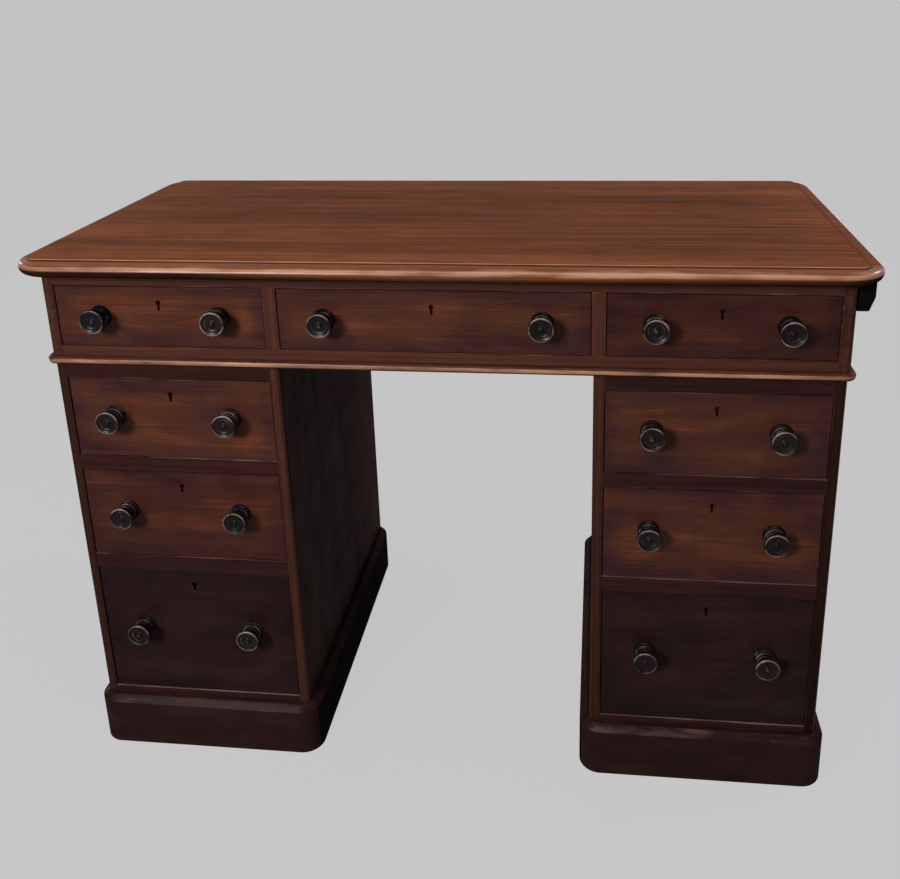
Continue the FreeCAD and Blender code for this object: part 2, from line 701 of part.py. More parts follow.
def drawer(name, x, floor, opening, opening_height, tails, knob_half, knob_rise):
    """A dovetailed drawer with two knobs and a lock; its bolt is drawn down."""
    face_y = front_y + s.drawer_recess
    low = floor + s.drawer_bottom_gap
    width = opening - 2 * s.drawer_side_gap
    height = opening_height - s.drawer_top_gap - s.drawer_bottom_gap
    side_height = height - s.drawer_side_drop
    inside_x = width / 2 - s.drawer_side_thickness

    sides = [drawer_side(f"{name}_side", place_x, low, side_height, tails)
             for place_x in (x - width / 2, x + inside_x)]
    bottom = centred_box(f"{name}_bottom", x, face_y + s.front_thickness - s.groove_depth,
                         low + s.drawer_bottom_rise, 2 * (inside_x + s.groove_depth),
                         drawer_length - s.front_thickness + s.groove_depth,
                         s.drawer_bottom_thickness)
    back_foot = s.drawer_bottom_rise + s.drawer_bottom_thickness
    back = centred_box(f"{name}_back", x,
                       face_y + drawer_length - s.drawer_side_thickness, low + back_foot,
                       width, s.drawer_side_thickness,
                       side_height - s.drawer_back_drop - back_foot)

    lock_y = face_y + s.front_thickness - s.lock_depth
    top = low + height
    lock_case = centred_box(f"{name}_lock_case", x, lock_y, top - s.lock_height,
                            s.lock_width, s.lock_depth, s.lock_height)
    bolt = centred_box(f"{name}_bolt", x, bolt_y, top - s.bolt_height,
                       s.bolt_width, s.bolt_thickness, s.bolt_height)
    bolt_way = centred_box(f"{name}_bolt_way", x, bolt_y - s.bolt_clearance,
                           top - s.bolt_height, s.bolt_width + 2 * s.bolt_clearance,
                           s.bolt_thickness + 2 * s.bolt_clearance,
                           s.bolt_height + s.overrun)

    eye_z = top - s.keyhole_drop
    reach = s.front_thickness + 2 * s.overrun
    knob_z = low + height / 2 + knob_rise
    holes = [rod(f"{name}_keyhole_eye", x, face_y - s.overrun, eye_z,
                 s.keyhole_eye_radius, reach),
             centred_box(f"{name}_keyhole_slot", x, face_y - s.overrun,
                         eye_z - s.keyhole_slot_length, s.keyhole_slot_width, reach,
                         s.keyhole_slot_length)]
    holes += [rod(f"{name}_spigot_hole", x + side * knob_half, face_y - s.overrun, knob_z,
                  s.spigot_radius + s.spigot_clearance, reach) for side in (-1, 1)]
    blank = centred_box(f"{name}_front_blank", x, face_y, low, width, s.front_thickness,
                        height)
    front = cut(f"{name}_front_cut", blank, sides + [bottom, lock_case] + holes)

    grooved = [cut(f"{name}_side_grooved", board, [bottom]) for board in sides]
    piece(f"{name}_front", front)
    piece(f"{name}_box", group(f"{name}_boards", grooved
                               + [cut(f"{name}_back_cut", back, sides), bottom]))
    piece(f"{name}_knobs", knobs(name, x, knob_z, knob_half))
    piece(f"{name}_lock", group(f"{name}_lock_parts",
                                [cut(f"{name}_lock_case_cut", lock_case, [bolt_way]), bolt]))


frieze()
for side_name, x in (("left", -side_drawer_x), ("centre", 0), ("right", side_drawer_x)):
    centre = side_name == "centre"
    drawer(f"frieze_drawer_{side_name}", x, frieze_floor,
           s.centre_opening if centre else s.side_opening, s.frieze_opening,
           SHALLOW_DRAWER_TAILS,
           s.centre_knob_spacing_half if centre else s.knob_spacing_half, s.knob_rise)
for side_name, x in (("left", -pedestal_x), ("right", pedestal_x)):
    pedestal(f"{side_name}_pedestal", x)
    drawer(f"{side_name}_drawer_top", x, top_floor, s.side_opening, s.top_drawer_opening,
           SHALLOW_DRAWER_TAILS, s.knob_spacing_half, s.top_knob_rise)
    drawer(f"{side_name}_drawer_middle", x, middle_floor, s.side_opening,
           s.middle_drawer_opening, MIDDLE_DRAWER_TAILS, s.knob_spacing_half,
           s.middle_knob_rise)
    drawer(f"{side_name}_drawer_bottom", x, bottom_floor, s.side_opening,
           s.bottom_drawer_opening, DEEP_DRAWER_TAILS, s.knob_spacing_half,
           s.bottom_knob_rise)

doc.recompute()

for item in doc.Objects:
    trouble = [state for state in item.State if state in ("Invalid", "Error")]
    if trouble:
        raise RuntimeError(f"{item.Name} ({item.Label}) is {trouble}: {item.getStatusString()}")
for name, item in pieces.items():
    if item.Shape.isNull() or not item.Shape.isValid():
        raise RuntimeError(f"{name} has no sound shape")

os.makedirs("parts", exist_ok=True)
for name, item in pieces.items():
    item.Shape.exportStep(os.path.join("parts", f"{name}.step"))
    print(name, len(item.Shape.Solids), round(item.Shape.Volume), item.Shape.BoundBox)
print(len(pieces), "nodes")
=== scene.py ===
"""Looks of the pedestal desk: polished mahogany boards with worn arrises, and turned knobs."""

import json
import math
import random

import bmesh
import bpy
from mathutils import Euler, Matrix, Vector, noise

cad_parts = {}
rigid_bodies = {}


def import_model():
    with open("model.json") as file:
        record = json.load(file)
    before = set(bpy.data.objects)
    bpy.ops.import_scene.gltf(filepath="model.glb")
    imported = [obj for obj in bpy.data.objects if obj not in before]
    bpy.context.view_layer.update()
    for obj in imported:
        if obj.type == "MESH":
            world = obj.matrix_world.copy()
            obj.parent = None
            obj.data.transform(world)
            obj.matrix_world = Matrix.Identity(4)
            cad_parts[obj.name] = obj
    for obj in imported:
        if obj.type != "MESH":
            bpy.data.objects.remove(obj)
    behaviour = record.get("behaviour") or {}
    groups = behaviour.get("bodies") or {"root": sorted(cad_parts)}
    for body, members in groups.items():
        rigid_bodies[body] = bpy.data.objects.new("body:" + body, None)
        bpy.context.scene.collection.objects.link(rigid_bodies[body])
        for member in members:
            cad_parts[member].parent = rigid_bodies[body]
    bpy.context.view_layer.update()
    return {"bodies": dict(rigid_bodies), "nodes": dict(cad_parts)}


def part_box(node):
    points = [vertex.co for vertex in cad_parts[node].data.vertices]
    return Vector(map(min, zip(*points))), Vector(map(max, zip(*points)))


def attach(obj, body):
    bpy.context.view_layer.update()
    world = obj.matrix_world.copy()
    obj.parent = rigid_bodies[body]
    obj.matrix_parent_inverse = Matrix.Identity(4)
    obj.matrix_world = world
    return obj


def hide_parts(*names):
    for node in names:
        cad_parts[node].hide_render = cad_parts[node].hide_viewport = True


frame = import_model()

MM = 0.001
X_AXIS, Y_AXIS, Z_AXIS = range(3)
DRAWERS = [body for body in frame["bodies"] if "drawer" in body]
PEDESTALS = ("left_pedestal", "right_pedestal")


def linear(hex_colour):
    """An sRGB hex colour as linear red, green, blue and alpha."""
    channels = [int(hex_colour[start:start + 2], 16) / 255 for start in (0, 2, 4)]
    return [c / 12.92 if c <= 0.04045 else ((c + 0.055) / 1.055) ** 2.4
            for c in channels] + [1.0]


def node(tree, kind, sockets=None, **settings):
    """Add a shader node: each socket gets a value or the output that feeds it."""
    made = tree.nodes.new(kind)
    for name, value in settings.items():
        setattr(made, name, value)
    for name, source in (sockets or {}).items():
        if isinstance(source, bpy.types.NodeSocket):
            tree.links.new(source, made.inputs[name])
        else:
            made.inputs[name].default_value = source
    return made


def blank_material(name):
    """A material with nothing but its output."""
    material = bpy.data.materials.new(name)
    material.use_nodes = True
    material.node_tree.nodes.clear()
    return material, material.node_tree


def figure(tree, timber, length_mm, width_mm, detail=2.0, wander=0.0):
    """Marks in the timber of about this length along the grain and this width across it."""
    stretched = node(tree, "ShaderNodeMapping", {
        "Vector": timber,
        "Scale": (1 / (length_mm * MM), 1 / (width_mm * MM), 1 / (width_mm * MM))})
    return node(tree, "ShaderNodeTexNoise", {
        "Vector": stretched.outputs[0], "Scale": 1.0, "Detail": detail,
        "Distortion": wander}).outputs["Fac"]


# Marks in the timber: length along the grain and width across it in millimetres, how much
# fine detail they have, and how much they wander. The fine lines are less than 1 mm wide in
# the real wood and the pores 0.2 mm; both are drawn coarser here, so that they show.
WIDE_BANDS = (800, 90, 2.0, 0.3)
CLOUDS = (110, 38, 3.0, 0.8)
STREAKS = (480, 8, 3.0, 0.2)
FINE_LINES = (160, 2.4, 2.0)
PORES = (9, 0.7, 1.0)
RAGGED_RIM = (90, 45)
RUBBED_AND_LIT_PATCHES = (75, 16, 5.0)
POLISH_PATCHES = (60, 45, 3.0, 0.6)
PLANE_RIPPLES = (120, 24)

# The share of bands, clouds, streaks and fine lines in the figure of a board.
STREAKED_SHARES = (0.28, 0.10, 0.34, 0.28)
MOTTLED_SHARES = (0.28, 0.40, 0.10, 0.22)

# How strong the figure is where the deep, middle and light colour stand.
DEEP_TONE, MIDDLE_TONE, LIGHT_TONE = 0.34, 0.49, 0.64
# A pore begins to show at the first of these and is full at the second.
PORE_STRENGTHS = (0.60, 0.74)

# Dents and worm holes: how far apart they are, and the radius of the full hole and of its
# rim, as shares of that.
DENT_SPACING_MM = 55
DENT_RADII = (0.012, 0.03)
DENT_COLOUR = "120b0a"
# The near-black that shares of wear less than nothing darken towards: painted shade, mostly.
DIRT_AND_SHADE_COLOUR = "0e0807"
# An arris is rubbed in full this near to its edge, and not at all beyond the second.
ARRIS_RUBBED_MM = (0.4, 1.8)


def polished_timber(name, deep, middle, light, worn_and_lit, polish, sheen,
                    figure_shares=STREAKED_SHARES, edge_dark=0.0, edge_mm=34, arris_wear=0.35,
                    pore_depth=0.35, marks=0.0, relief_mm=0.3):
    """Mahogany or a like timber under old spirit polish. Its figure is made of wide bands,
    clouds, streaks and fine lines along the grain, in the shares given, with short dark pores
    in them. The wood itself has no gloss: a thin clear polish lies over it, polish is how much
    of it is left and sheen how rough it has become. It has gone from the arrises, which show
    pale in the worn_and_lit colour; that colour is also a painted highlight where the wear
    share carries one. Round the rim of each board the colour is darkened by edge_dark, a
    painted shade along the gaps between boards, or made paler, a painted light, where that is
    less than nothing, over a strip as wide as edge_mm on average. Where the wear share is less
    than nothing the colour darkens towards a near-black and the polish dulls; most of this is
    painted shade. In the hollows of mouldings the polish is thick."""
    material, tree = blank_material(name)
    timber = node(tree, "ShaderNodeAttribute", attribute_name="timber").outputs["Vector"]
    wear_and_painted_light = node(tree, "ShaderNodeAttribute", attribute_name="wear_and_painted_light").outputs["Fac"]
    thick = node(tree, "ShaderNodeAttribute", attribute_name="thick_polish").outputs["Fac"]

    # How far a point lies from the nearest arris of its board, in millimetres: the middle
    # one of its three distances from the board's faces, for the least is always nothing.
    reach = node(tree, "ShaderNodeAttribute", attribute_name="from_middle").outputs["Vector"]
    half = node(tree, "ShaderNodeAttribute", attribute_name="half_size").outputs["Vector"]
    reach = node(tree, "ShaderNodeVectorMath", {0: reach}, operation="ABSOLUTE").outputs[0]
    gap = node(tree, "ShaderNodeVectorMath", {0: half, 1: reach},
               operation="SUBTRACT").outputs[0]
    gap = node(tree, "ShaderNodeSeparateXYZ", {"Vector": gap}).outputs
    lesser = node(tree, "ShaderNodeMath", {0: gap["X"], 1: gap["Y"]},
                  operation="MINIMUM").outputs[0]
    greater = node(tree, "ShaderNodeMath", {0: gap["X"], 1: gap["Y"]},
                   operation="MAXIMUM").outputs[0]
    greater = node(tree, "ShaderNodeMath", {0: greater, 1: gap["Z"]},
                   operation="MINIMUM").outputs[0]
    arris = node(tree, "ShaderNodeMath", {0: lesser, 1: greater},
                 operation="MAXIMUM").outputs[0]

    tone = 0.0
    for share, size in zip(figure_shares, (WIDE_BANDS, CLOUDS, STREAKS, FINE_LINES)):
        tone = node(tree, "ShaderNodeMath", {0: figure(tree, timber, *size), 1: share, 2: tone},
                    operation="MULTIPLY_ADD").outputs[0]
    if edge_dark:
        ragged = node(tree, "ShaderNodeMath", {
            0: figure(tree, timber, *RAGGED_RIM), 1: -edge_mm, 2: arris},
            operation="MULTIPLY_ADD").outputs[0]
        rim = node(tree, "ShaderNodeMapRange", {
            "Value": ragged, "From Min": -0.5 * edge_mm, "From Max": 0.5 * edge_mm,
            "To Min": -edge_dark, "To Max": 0.0}, interpolation_type="SMOOTHSTEP").outputs[0]
        tone = node(tree, "ShaderNodeMath", {0: tone, 1: rim}, operation="ADD").outputs[0]
    ramp = node(tree, "ShaderNodeValToRGB", {"Fac": tone})
    stops = ramp.color_ramp.elements
    stops[0].position, stops[0].color = DEEP_TONE, linear(deep)
    stops[1].position, stops[1].color = LIGHT_TONE, linear(light)
    stops.new(MIDDLE_TONE).color = linear(middle)

    pores = node(tree, "ShaderNodeMapRange", {
        "Value": figure(tree, timber, *PORES), "From Min": PORE_STRENGTHS[0],
        "From Max": PORE_STRENGTHS[1], "To Max": pore_depth}).outputs[0]
    colour = node(tree, "ShaderNodeMix", {
        "Factor": pores, 6: ramp.outputs["Color"], 7: linear(deep)},
        data_type="RGBA").outputs[2]
    if marks:
        # Small dents and worm holes, 1.3 mm across and 3.3 mm with their rims.
        spots = node(tree, "ShaderNodeTexVoronoi", {
            "Vector": timber, "Scale": 1 / (DENT_SPACING_MM * MM)})
        spots = node(tree, "ShaderNodeMapRange", {
            "Value": spots.outputs["Distance"], "From Min": DENT_RADII[0],
            "From Max": DENT_RADII[1], "To Min": marks, "To Max": 0.0}).outputs[0]
        colour = node(tree, "ShaderNodeMix", {
            "Factor": spots, 6: colour, 7: linear(DENT_COLOUR)}, data_type="RGBA").outputs[2]

    at_arris = node(tree, "ShaderNodeMapRange", {
        "Value": arris, "From Min": ARRIS_RUBBED_MM[0], "From Max": ARRIS_RUBBED_MM[1],
        "To Min": arris_wear, "To Max": 0.0}).outputs[0]
    # Shares less than nothing darken the colour and dull the polish: painted shade, mostly.
    dirt_and_shade = node(tree, "ShaderNodeMath", {0: wear_and_painted_light, 1: -0.85}, operation="MULTIPLY",
                use_clamp=True).outputs[0]
    colour = node(tree, "ShaderNodeMix", {
        "Factor": dirt_and_shade, 6: colour, 7: linear(DIRT_AND_SHADE_COLOUR)}, data_type="RGBA").outputs[2]
    wear_and_painted_light = node(tree, "ShaderNodeMath", {0: wear_and_painted_light, 1: at_arris}, operation="MAXIMUM").outputs[0]
    # Rubbed places and painted highlights come and go along an arris in patches as long as a
    # finger.
    patchy = node(tree, "ShaderNodeMath", {
        0: figure(tree, timber, *RUBBED_AND_LIT_PATCHES), 1: 2.2, 2: -1.6},
        operation="MULTIPLY_ADD").outputs[0]
    rubbed_and_highlit = node(tree, "ShaderNodeMath", {0: wear_and_painted_light, 1: 1.25, 2: patchy},
                  operation="MULTIPLY_ADD").outputs[0]
    rubbed_and_highlit = node(tree, "ShaderNodeMapRange", {
        "Value": rubbed_and_highlit, "From Min": 0.0, "From Max": 0.8}).outputs[0]
    colour = node(tree, "ShaderNodeMix", {
        "Factor": rubbed_and_highlit, 6: colour, 7: linear(worn_and_lit)}, data_type="RGBA").outputs[2]

    # How much polish is left: it varies from patch to patch, and the darkened places, painted
    # shade mostly, have less.
    left = node(tree, "ShaderNodeMapRange", {
        "Value": figure(tree, timber, *POLISH_PATCHES), "From Min": 0.3, "From Max": 0.7,
        "To Min": 0.75 * polish, "To Max": 1.25 * polish}).outputs[0]
    left = node(tree, "ShaderNodeMath", {0: left, 1: thick}, operation="ADD").outputs[0]
    clear_of_dirt_and_shade = node(tree, "ShaderNodeMath", {0: 1.0, 1: dirt_and_shade}, operation="SUBTRACT").outputs[0]
    left = node(tree, "ShaderNodeMath", {0: left, 1: clear_of_dirt_and_shade}, operation="MULTIPLY").outputs[0]
    # Shallow ripples from the plane, and the pores, break up what the polish mirrors.
    relief = node(tree, "ShaderNodeMath", {
        0: pores, 1: -0.5, 2: figure(tree, timber, *PLANE_RIPPLES)},
        operation="MULTIPLY_ADD").outputs[0]
    bump = node(tree, "ShaderNodeBump", {
        "Height": relief, "Strength": 0.25, "Distance": relief_mm * MM}).outputs[0]
    surface = node(tree, "ShaderNodeBsdfPrincipled", {
        "Base Color": colour, "Roughness": 0.6, "Normal": bump, "Specular IOR Level": 0.0,
        "Coat Weight": left, "Coat Roughness": sheen, "Coat IOR": 1.5, "Coat Normal": bump})
    node(tree, "ShaderNodeOutputMaterial", {"Surface": surface.outputs[0]})
    return material


TARNISH_MM = 9


def dull_brass(name):
    """Brass of an old lock, browned with age and smoky where the polish never reached."""
    material, tree = blank_material(name)
    place = node(tree, "ShaderNodeTexCoord").outputs["Object"]
    tarnish = node(tree, "ShaderNodeTexNoise", {
        "Vector": place, "Scale": 1 / (TARNISH_MM * MM), "Detail": 4.0}).outputs["Fac"]
    colour = node(tree, "ShaderNodeMix", {
        "Factor": tarnish, 6: linear("4a3a22"), 7: linear("1a120b")}, data_type="RGBA")
    dull = node(tree, "ShaderNodeMapRange", {
        "Value": tarnish, "To Min": 0.22, "To Max": 0.57}).outputs[0]
    surface = node(tree, "ShaderNodeBsdfPrincipled", {
        "Base Color": colour.outputs[2], "Metallic": 1.0, "Roughness": dull})
    node(tree, "ShaderNodeOutputMaterial", {"Surface": surface.outputs[0]})
    return material


# The writing surface: the lightest wood of the desk, with long brown streaks, fine dark pores
# and a broad dull sheen. Its rim is painted paler and its middle darker: painted light and shade
# across the top.
TOP = polished_timber("mahogany_top_polish", "33160c", "522b17", "6f3d22", "936c56",
                      polish=0.12, sheen=0.30, edge_dark=-0.08, edge_mm=190,
                      pore_depth=0.5)
# Drawer fronts: clouded red-brown figure, a soft sheen, and a scatter of small dark dents. They
# darken to purple at the rim, a painted shade along the gaps round each drawer.
FRONT = polished_timber("mahogany_front_polish", "2c1618", "422317", "5e311f", "7c5546",
                        polish=0.20, sheen=0.30, figure_shares=MOTTLED_SHARES, edge_dark=0.10,
                        arris_wear=0.2, marks=0.9)
# Two fronts cut from a darker board, with the same figure and sheen, and a slightly weaker
# painted shade at the rim.
DARK_FRONT = polished_timber("mahogany_dark_front_polish", "220f11", "371b13", "4e2819",
                             "6c4a3d", polish=0.20, sheen=0.30, figure_shares=MOTTLED_SHARES,
                             edge_dark=0.07, arris_wear=0.2, marks=0.9)
# The lowest fronts: nearly black-brown and duller, darker wood and painted shade together, so
# that the pedestals darken towards the floor. Their rims also darken with painted shade.
LOW_FRONT = polished_timber("mahogany_low_front_polish", "160b0c", "1f1110", "2b1915",
                            "5c453c", polish=0.12, sheen=0.32, figure_shares=MOTTLED_SHARES,
                            edge_dark=0.08, arris_wear=0.25, marks=0.9)
# Rails between the drawers of a pedestal: dark, quiet wood with pale, rubbed arrises.
RAIL = polished_timber("mahogany_dark_rail_polish", "1a0b0b", "261110", "311813", "6b5248",
                       polish=0.16, sheen=0.32, arris_wear=0.45)
# Rails and half-round of the frieze: redder and shinier than those below, with worn
# arrises that show as light lines.
FRIEZE_RAIL = polished_timber("mahogany_frieze_rail_polish", "29120d", "3b1e15", "4c291b",
                              "9a6c50", polish=0.26, sheen=0.28)
# Broad side boards: dull dark brown, hardly any shine left; darker than their front edges,
# painted shade in part.
SIDE = polished_timber("mahogany_side_dull_polish", "241413", "301a17", "3f241d", "5c4036",
                       polish=0.08, sheen=0.40)
# Front edges of the side boards: redder than the broad sides, painted light where they face the
# front, and darker near the gaps at their rims, painted shade.
UPRIGHT = polished_timber("mahogany_upright_rubbed", "2a1510", "3a2017", "4b2b1e", "634235",
                          polish=0.16, sheen=0.34, edge_dark=0.10, edge_mm=10,
                          arris_wear=0.3)
# Plinths in front: purple-brown, dull, with scuffs along the arris.
PLINTH = polished_timber("mahogany_plinth_polish", "190f0f", "231413", "2e1b18", "674b44",
                         polish=0.06, sheen=0.36, figure_shares=MOTTLED_SHARES, arris_wear=0.2)
# Plinth boards at the sides: almost black, painted shade, so that they hardly show.
SHADED = polished_timber("mahogany_shaded_side", "070404", "0c0606", "130a0a", "2c1f1b",
                         polish=0.02, sheen=0.40, arris_wear=0.1)
# Lip of the side slide: nearly black, painted shade under the overhang of the top.
LIP = polished_timber("mahogany_lip_polish", "060403", "0a0705", "120c09", "2c1f19",
                      polish=0.05, sheen=0.30, arris_wear=0.2)
# Turned knobs: black stain under polish gives crisp small highlights, and the bare wood
# shows as a grey-brown ring at the rim.
KNOB = polished_timber("ebonised_turned_knob", "09090b", "0f0c0e", "1a1312", "75645a",
                       polish=0.22, sheen=0.30, pore_depth=0.1, relief_mm=0.05)
# Drawer boxes and boards inside: pale, straight-grained oak with a waxy dullness.
LINING = polished_timber("waxed_oak_lining", "6d4d30", "8b6845", "a5825b", "b59672",
                         polish=0.06, sheen=0.50)
# Locks: brown metal with smoky, uneven shine.
BRASS = dull_brass("dull_brass_lock")


def put_in_scene(name, mesh, body, slot, replaced, *materials):
    """Make a piece of a mesh, with its materials, its body and the nodes it
    stands for. Its slot is not used."""
    piece = bpy.data.objects.new(name, mesh)
    bpy.context.scene.collection.objects.link(piece)
    for material in materials:
        mesh.materials.append(material)
    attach(piece, body)
    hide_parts(*replaced)
    return piece


def middle_of(board):
    """The mean of a board's corners, rounded so that boards sort in the same way each run."""
    return [round(sum(v.co[axis] for v in board) / len(board), 5) for axis in range(3)]


def separate_boards(bm):
    """The boards in a mesh, each as a list of its corners, from left to right."""
    unseen = set(bm.verts)
    boards = []
    while unseen:
        waiting, board = [unseen.pop()], []
        while waiting:
            corner = waiting.pop()
            board.append(corner)
            for edge in corner.link_edges:
                other = edge.other_vert(corner)
                if other in unseen:
                    unseen.remove(other)
                    waiting.append(other)
        boards.append(board)
    return sorted(boards, key=middle_of)


# Each board is cut from another place in a trunk as long as this.
TRUNK_M = 20
# A half size that puts every corner far from any arris.
NO_ARRIS_MM = Vector((900, 900, 900))


def lay_grain(bm, name, along=None, square=True):
    """Give each board its own stretch of timber, with the grain along its longest side, or
    along the axis given, and note where each corner lies in its board, in millimetres. A
    piece that isn't square has no arrises of its own to rub."""
    timber = bm.verts.layers.float_vector.new("timber")
    from_middle = bm.verts.layers.float_vector.new("from_middle")
    half_size = bm.verts.layers.float_vector.new("half_size")
    pick = random.Random(name)
    for board in separate_boards(bm):
        low = Vector([min(v.co[axis] for v in board) for axis in range(3)])
        high = Vector([max(v.co[axis] for v in board) for axis in range(3)])
        size = high - low
        order = sorted(range(3), key=lambda axis: -size[axis])
        if along is not None:
            order.remove(along)
            order.insert(0, along)
        shift = Vector([pick.uniform(0, TRUNK_M) for _ in range(3)])
        for v in board:
            v[timber] = Vector([v.co[axis] for axis in order]) + shift
            v[from_middle] = (v.co - (low + high) / 2) / MM
            v[half_size] = size / (2 * MM) if square else NO_ARRIS_MM


SHARP_DEGREES = 50
MOULDING_SHARP_DEGREES = 60


def finish_mesh(bm, name, sharp_degrees=SHARP_DEGREES):
    """Turn a working mesh into one that is smooth except at its sharp edges."""
    mesh = bpy.data.meshes.new(name)
    bm.to_mesh(mesh)
    bm.free()
    for polygon in mesh.polygons:
        polygon.use_smooth = True
    mesh.set_sharp_from_angle(angle=math.radians(sharp_degrees))
    return mesh


# Corners this near are one, faces this near to one plane are one, and an edge that turns by
# more than the last of these is an arris.
WELD_MM = 0.001
ONE_PLANE_DEGREES = 0.5
ARRIS_DEGREES = 30
# A normal is square to its board where one of its parts is at least this.
SQUARE_NORMAL = 0.9999


def softened_boards(node_name, body, slot, materials, arris_mm=0.7, along=None, paint=None,
                    wear_and_light_rule=None, moulded=False):
    """The boards of a node with their arrises rounded, so that they catch light. The paint
    rule gives a face its material, and the wear_and_light_rule says for each corner of a face
    how far its polish has gone or how much painted highlight it gets, and, as a number less
    than nothing, how much painted shade darkens it. The broad faces of a board that isn't
    moulded are quite flat from rim to rim."""
    bm = bmesh.new()
    bm.from_mesh(frame["nodes"][node_name].data)
    bmesh.ops.remove_doubles(bm, verts=bm.verts, dist=WELD_MM * MM)
    bmesh.ops.dissolve_limit(bm, angle_limit=math.radians(ONE_PLANE_DEGREES), verts=bm.verts,
                             edges=bm.edges)
    arrises = [edge for edge in bm.edges if len(edge.link_faces) == 2
               and edge.calc_face_angle() > math.radians(ARRIS_DEGREES)]
    bmesh.ops.bevel(bm, geom=arrises, offset=arris_mm * MM, offset_type="OFFSET",
                    segments=2, profile=0.5, affect="EDGES", clamp_overlap=True)
    wear_and_painted_light = bm.verts.layers.float.new("wear_and_painted_light")
    bm.normal_update()
    for face in bm.faces:
        if paint:
            face.material_index = paint(face)
        if wear_and_light_rule:
            for v in face.verts:
                v[wear_and_painted_light] = max(v[wear_and_painted_light], wear_and_light_rule(face, v.co), key=abs)
    lay_grain(bm, node_name, along)
    mesh = finish_mesh(bm, node_name)
    if not moulded:
        for polygon in mesh.polygons:
            polygon.use_smooth = max(abs(part) for part in polygon.normal) < SQUARE_NORMAL
    piece = put_in_scene(f"{node_name}_timber", mesh, body, slot, [node_name], *materials)
    piece.modifiers.new("even_shading", "WEIGHTED_NORMAL").keep_sharp = True


# Knob: radius, distance from the drawer's face, and share of wear and painted highlight, from
# the face inwards. The pale centre and the pale rings on the neck and rim are painted highlight
# as well as wear.
KNOB_TURNING_MM = [
    (0.0, 27.9, 0.35), (1.2, 27.8, 0.35), (2.3, 27.5, 0.3), (3.1, 27.0, 0.2),
    (3.5, 26.3, 0.0), (3.7, 25.7, 0.0), (4.8, 25.35, 0.0), (6.8, 25.3, 0.0),
    (8.4, 25.5, 0.0), (9.2, 25.9, 0.2), (9.8, 26.25, 0.4), (10.4, 26.2, 0.2),
    (10.8, 26.1, 0.0), (12.4, 26.9, 0.0), (13.6, 27.6, 0.2), (14.6, 27.9, 0.8),
    (15.4, 27.7, 1.1), (16.1, 27.1, 0.7), (16.6, 26.3, 0.2), (16.8, 25.4, 0.0),
    (16.5, 24.3, 0.0), (15.8, 23.2, 0.0), (14.7, 22.0, 0.0), (13.4, 20.6, 0.0),
    (12.4, 19.1, 0.0), (11.8, 17.6, 0.0), (11.4, 16.2, 0.0), (11.2, 15.2, 0.1),
    (11.5, 14.6, 0.3), (11.9, 14.0, 0.6), (11.9, 13.2, 0.6), (11.5, 12.5, 0.2),
    (11.1, 12.0, 0.0), (10.9, 10.8, 0.0), (11.0, 9.6, 0.0), (11.5, 8.9, 0.2),
    (12.4, 8.3, 0.6), (12.9, 7.4, 0.6), (12.9, 6.5, 0.2), (12.5, 5.7, 0.0),
    (12.5, 5.0, 0.0), (13.0, 4.2, 0.0), (13.9, 3.1, 0.4), (14.5, 2.0, 0.4),
    (14.7, 1.0, 0.0), (14.7, 0.0, 0.0),
]
KNOB_FACETS = 48
# The rim of a knob, which fingers pull at, lies further out than this.
KNOB_RIM_MM = 13


def turned_knobs(drawer):
    """The pair of knobs of a drawer, turned from one profile."""
    node_name = f"{drawer}_knobs"
    low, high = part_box(node_name)
    face_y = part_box(f"{drawer}_front")[0].y
    radius = (high.z - low.z) / 2
    bm = bmesh.new()
    wear_and_painted_light = bm.verts.layers.float.new("wear_and_painted_light")
    for centre_x in (low.x + radius, high.x - radius):
        centre = Vector((centre_x, face_y, (low.z + high.z) / 2))
        rings = []
        for across, out, worn_and_lit in KNOB_TURNING_MM:
            ring = []
            for step in range(KNOB_FACETS if across else 1):
                turn = math.tau * step / KNOB_FACETS
                v = bm.verts.new(centre + Vector((across * MM * math.cos(turn), -out * MM,
                                                  across * MM * math.sin(turn))))
                # The rim is paler above and below than at its sides: painted highlight, with
                # some wear.
                rim_wear_and_highlight = 0.45 + 0.5 * abs(math.sin(turn)) if across > KNOB_RIM_MM else 1.0
                v[wear_and_painted_light] = worn_and_lit * rim_wear_and_highlight
                ring.append(v)
            rings.append(ring)
        for inner, outer in zip(rings, rings[1:]):
            for step in range(KNOB_FACETS):
                after = (step + 1) % KNOB_FACETS
                if len(inner) == 1:
                    bm.faces.new((inner[0], outer[after], outer[step]))
                else:
                    bm.faces.new((inner[step], inner[after], outer[after], outer[step]))
        bm.faces.new(rings[-1])
    bmesh.ops.recalc_face_normals(bm, faces=bm.faces)
    lay_grain(bm, node_name, along=Y_AXIS, square=False)
    mesh = finish_mesh(bm, node_name, MOULDING_SHARP_DEGREES)
    put_in_scene(f"{drawer}_turned_knobs", mesh, drawer, "turned_knob", [node_name], KNOB)


CORNER_STEPS = 24


def rounded_path(half_x, front, back, radius, run_steps):
    """Points round a rectangle with round corners, counter-clockwise from the foot of its
    right corner in front, each with its outward direction. Every path has the same number of
    points, so that paths of several sizes can be joined."""
    corners = [((half_x - radius, front + radius), -90), ((half_x - radius, back - radius), 0),
               ((radius - half_x, back - radius), 90), ((radius - half_x, front + radius), 180)]
    points = []
    for number, (centre, start) in enumerate(corners):
        centre = Vector(centre)
        for step in range(CORNER_STEPS + 1):
            turn = math.radians(start + 90 * step / CORNER_STEPS)
            out = Vector((math.cos(turn), math.sin(turn)))
            points.append((centre + out * radius, out))
        last, out = points[-1]
        after = Vector(corners[(number + 1) % 4][0]) + out * radius
        steps = run_steps[number % 2]
        points += [(last.lerp(after, step / steps), out) for step in range(1, steps)]
    return points


